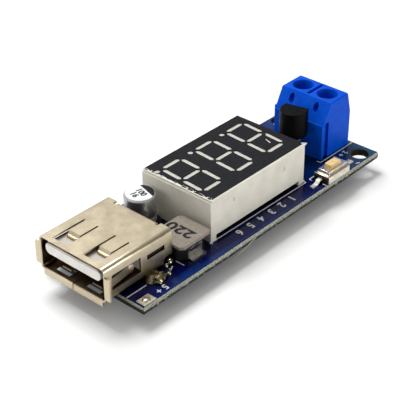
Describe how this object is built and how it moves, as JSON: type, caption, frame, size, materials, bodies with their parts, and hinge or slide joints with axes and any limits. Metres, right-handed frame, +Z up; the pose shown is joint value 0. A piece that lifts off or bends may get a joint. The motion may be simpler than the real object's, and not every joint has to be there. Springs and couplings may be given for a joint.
{
  "type": "buck converter module",
  "caption": "Long circuit board with a USB-A socket at one end, a seven segment voltmeter in the middle and a screw terminal at the other end.",
  "frame": {"origin": "middle of the module, on the surface that its pins stand on", "axes": "+X along the board to the screw terminal, +Y to the far long edge, +Z up through the display"},
  "size_m": [0.0596, 0.0212, 0.0136],
  "materials": {
    "board_laminate": "dark blue solder mask over glass fibre laminate",
    "solder": "bright tin solder with a little flux",
    "shell_nickel": "nickel plated brass sheet, warm",
    "insulator": "white moulding",
    "contact_gold": "gold flashed contacts",
    "display_white": "white reflector moulding",
    "display_black": "matt black face film",
    "display_resin": "milky resin in the segments",
    "led_board": "thin laminate",
    "tinned_wire": "tinned pins and leads",
    "capacitor_plastic": "black base moulding",
    "can_aluminium": "drawn aluminium can, printed top",
    "ferrite": "grey coated ferrite",
    "copper": "enamelled copper wire",
    "switch_black": "black moulding",
    "switch_nickel": "stamped bright cover",
    "button_cream": "cream moulded button",
    "terminal_blue": "blue nylon moulding",
    "clamp_zinc": "zinc plated contact and guard",
    "screw_zinc": "zinc plated screw",
    "regulator_black": "black epoxy",
    "chip_black": "black epoxy",
    "resistor_glass": "black glazed top",
    "ceramic_tan": "tan ceramic"
  },
  "bodies": {
    "board": {"pcb": "board_laminate", "usb_shell": "shell_nickel", "usb_contacts": "contact_gold", "usb_insulator": "insulator", "display_housing": "display_white", "display_segments": "display_resin", "display_face": "display_black", "display_led_board": "led_board", "display_pins": "tinned_wire", "capacitor_base": "capacitor_plastic", "capacitor_leads": "tinned_wire", "capacitor_can": "can_aluminium", "coil_body": "ferrite", "coil_winding": "copper", "coil_clips": "tinned_wire", "switch_base": "switch_black", "switch_cover": "switch_nickel", "switch_leads": "tinned_wire", "switch_dome": "switch_nickel", "terminal_housing": "terminal_blue", "terminal_contact_1": "clamp_zinc", "terminal_contact_2": "clamp_zinc", "regulator_body": "regulator_black", "regulator_legs": "tinned_wire", "output_pads": "solder", "buck_controller_body": "chip_black", "buck_controller_leads": "tinned_wire", "meter_controller_body": "chip_black", "meter_controller_leads": "tinned_wire", "diode_body": "chip_black", "diode_tabs": "tinned_wire", "resistor_bodies": "resistor_glass", "resistor_ends": "tinned_wire", "ceramic_capacitor_bodies": "ceramic_tan", "ceramic_capacitor_ends": "tinned_wire", "usb_pin_solder": "solder", "display_solder": "solder", "terminal_solder": "solder", "regulator_solder": "solder", "usb_tab_solder": "solder"},
    "button": {"switch_button": "button_cream"},
    "guard_1": {"wire_guard_1": "clamp_zinc"},
    "screw_1": {"terminal_screw_1": "screw_zinc"},
    "guard_2": {"wire_guard_2": "clamp_zinc"},
    "screw_2": {"terminal_screw_2": "screw_zinc"}
  },
  "joints": [
    {"name": "button_press", "type": "slide", "parent": "board", "child": "button", "axis": [0, 0, -1], "range_m": [0, 0.00025], "stiffness_N_per_m": 6400, "springref_m": -0.00002},
    {"name": "guard_1_travel", "type": "slide", "parent": "board", "child": "guard_1", "axis": [0, 0, 1], "range_m": [0, 0.0022]},
    {"name": "screw_1_turn", "type": "hinge", "parent": "guard_1", "child": "screw_1", "pos_m": [0.02556, -0.0025, 0.0086], "axis": [0, 0, 1], "range_deg": [0, 1585]},
    {"name": "guard_2_travel", "type": "slide", "parent": "board", "child": "guard_2", "axis": [0, 0, 1], "range_m": [0, 0.0022]},
    {"name": "screw_2_turn", "type": "hinge", "parent": "guard_2", "child": "screw_2", "pos_m": [0.02556, 0.0025, 0.0086], "axis": [0, 0, 1], "range_deg": [0, 1585]}
  ],
  "couplings": [
    {"joint": "screw_1_turn", "follows": "guard_1_travel", "rad_per_m": 12566},
    {"joint": "screw_2_turn", "follows": "guard_2_travel", "rad_per_m": 12566}
  ]
}
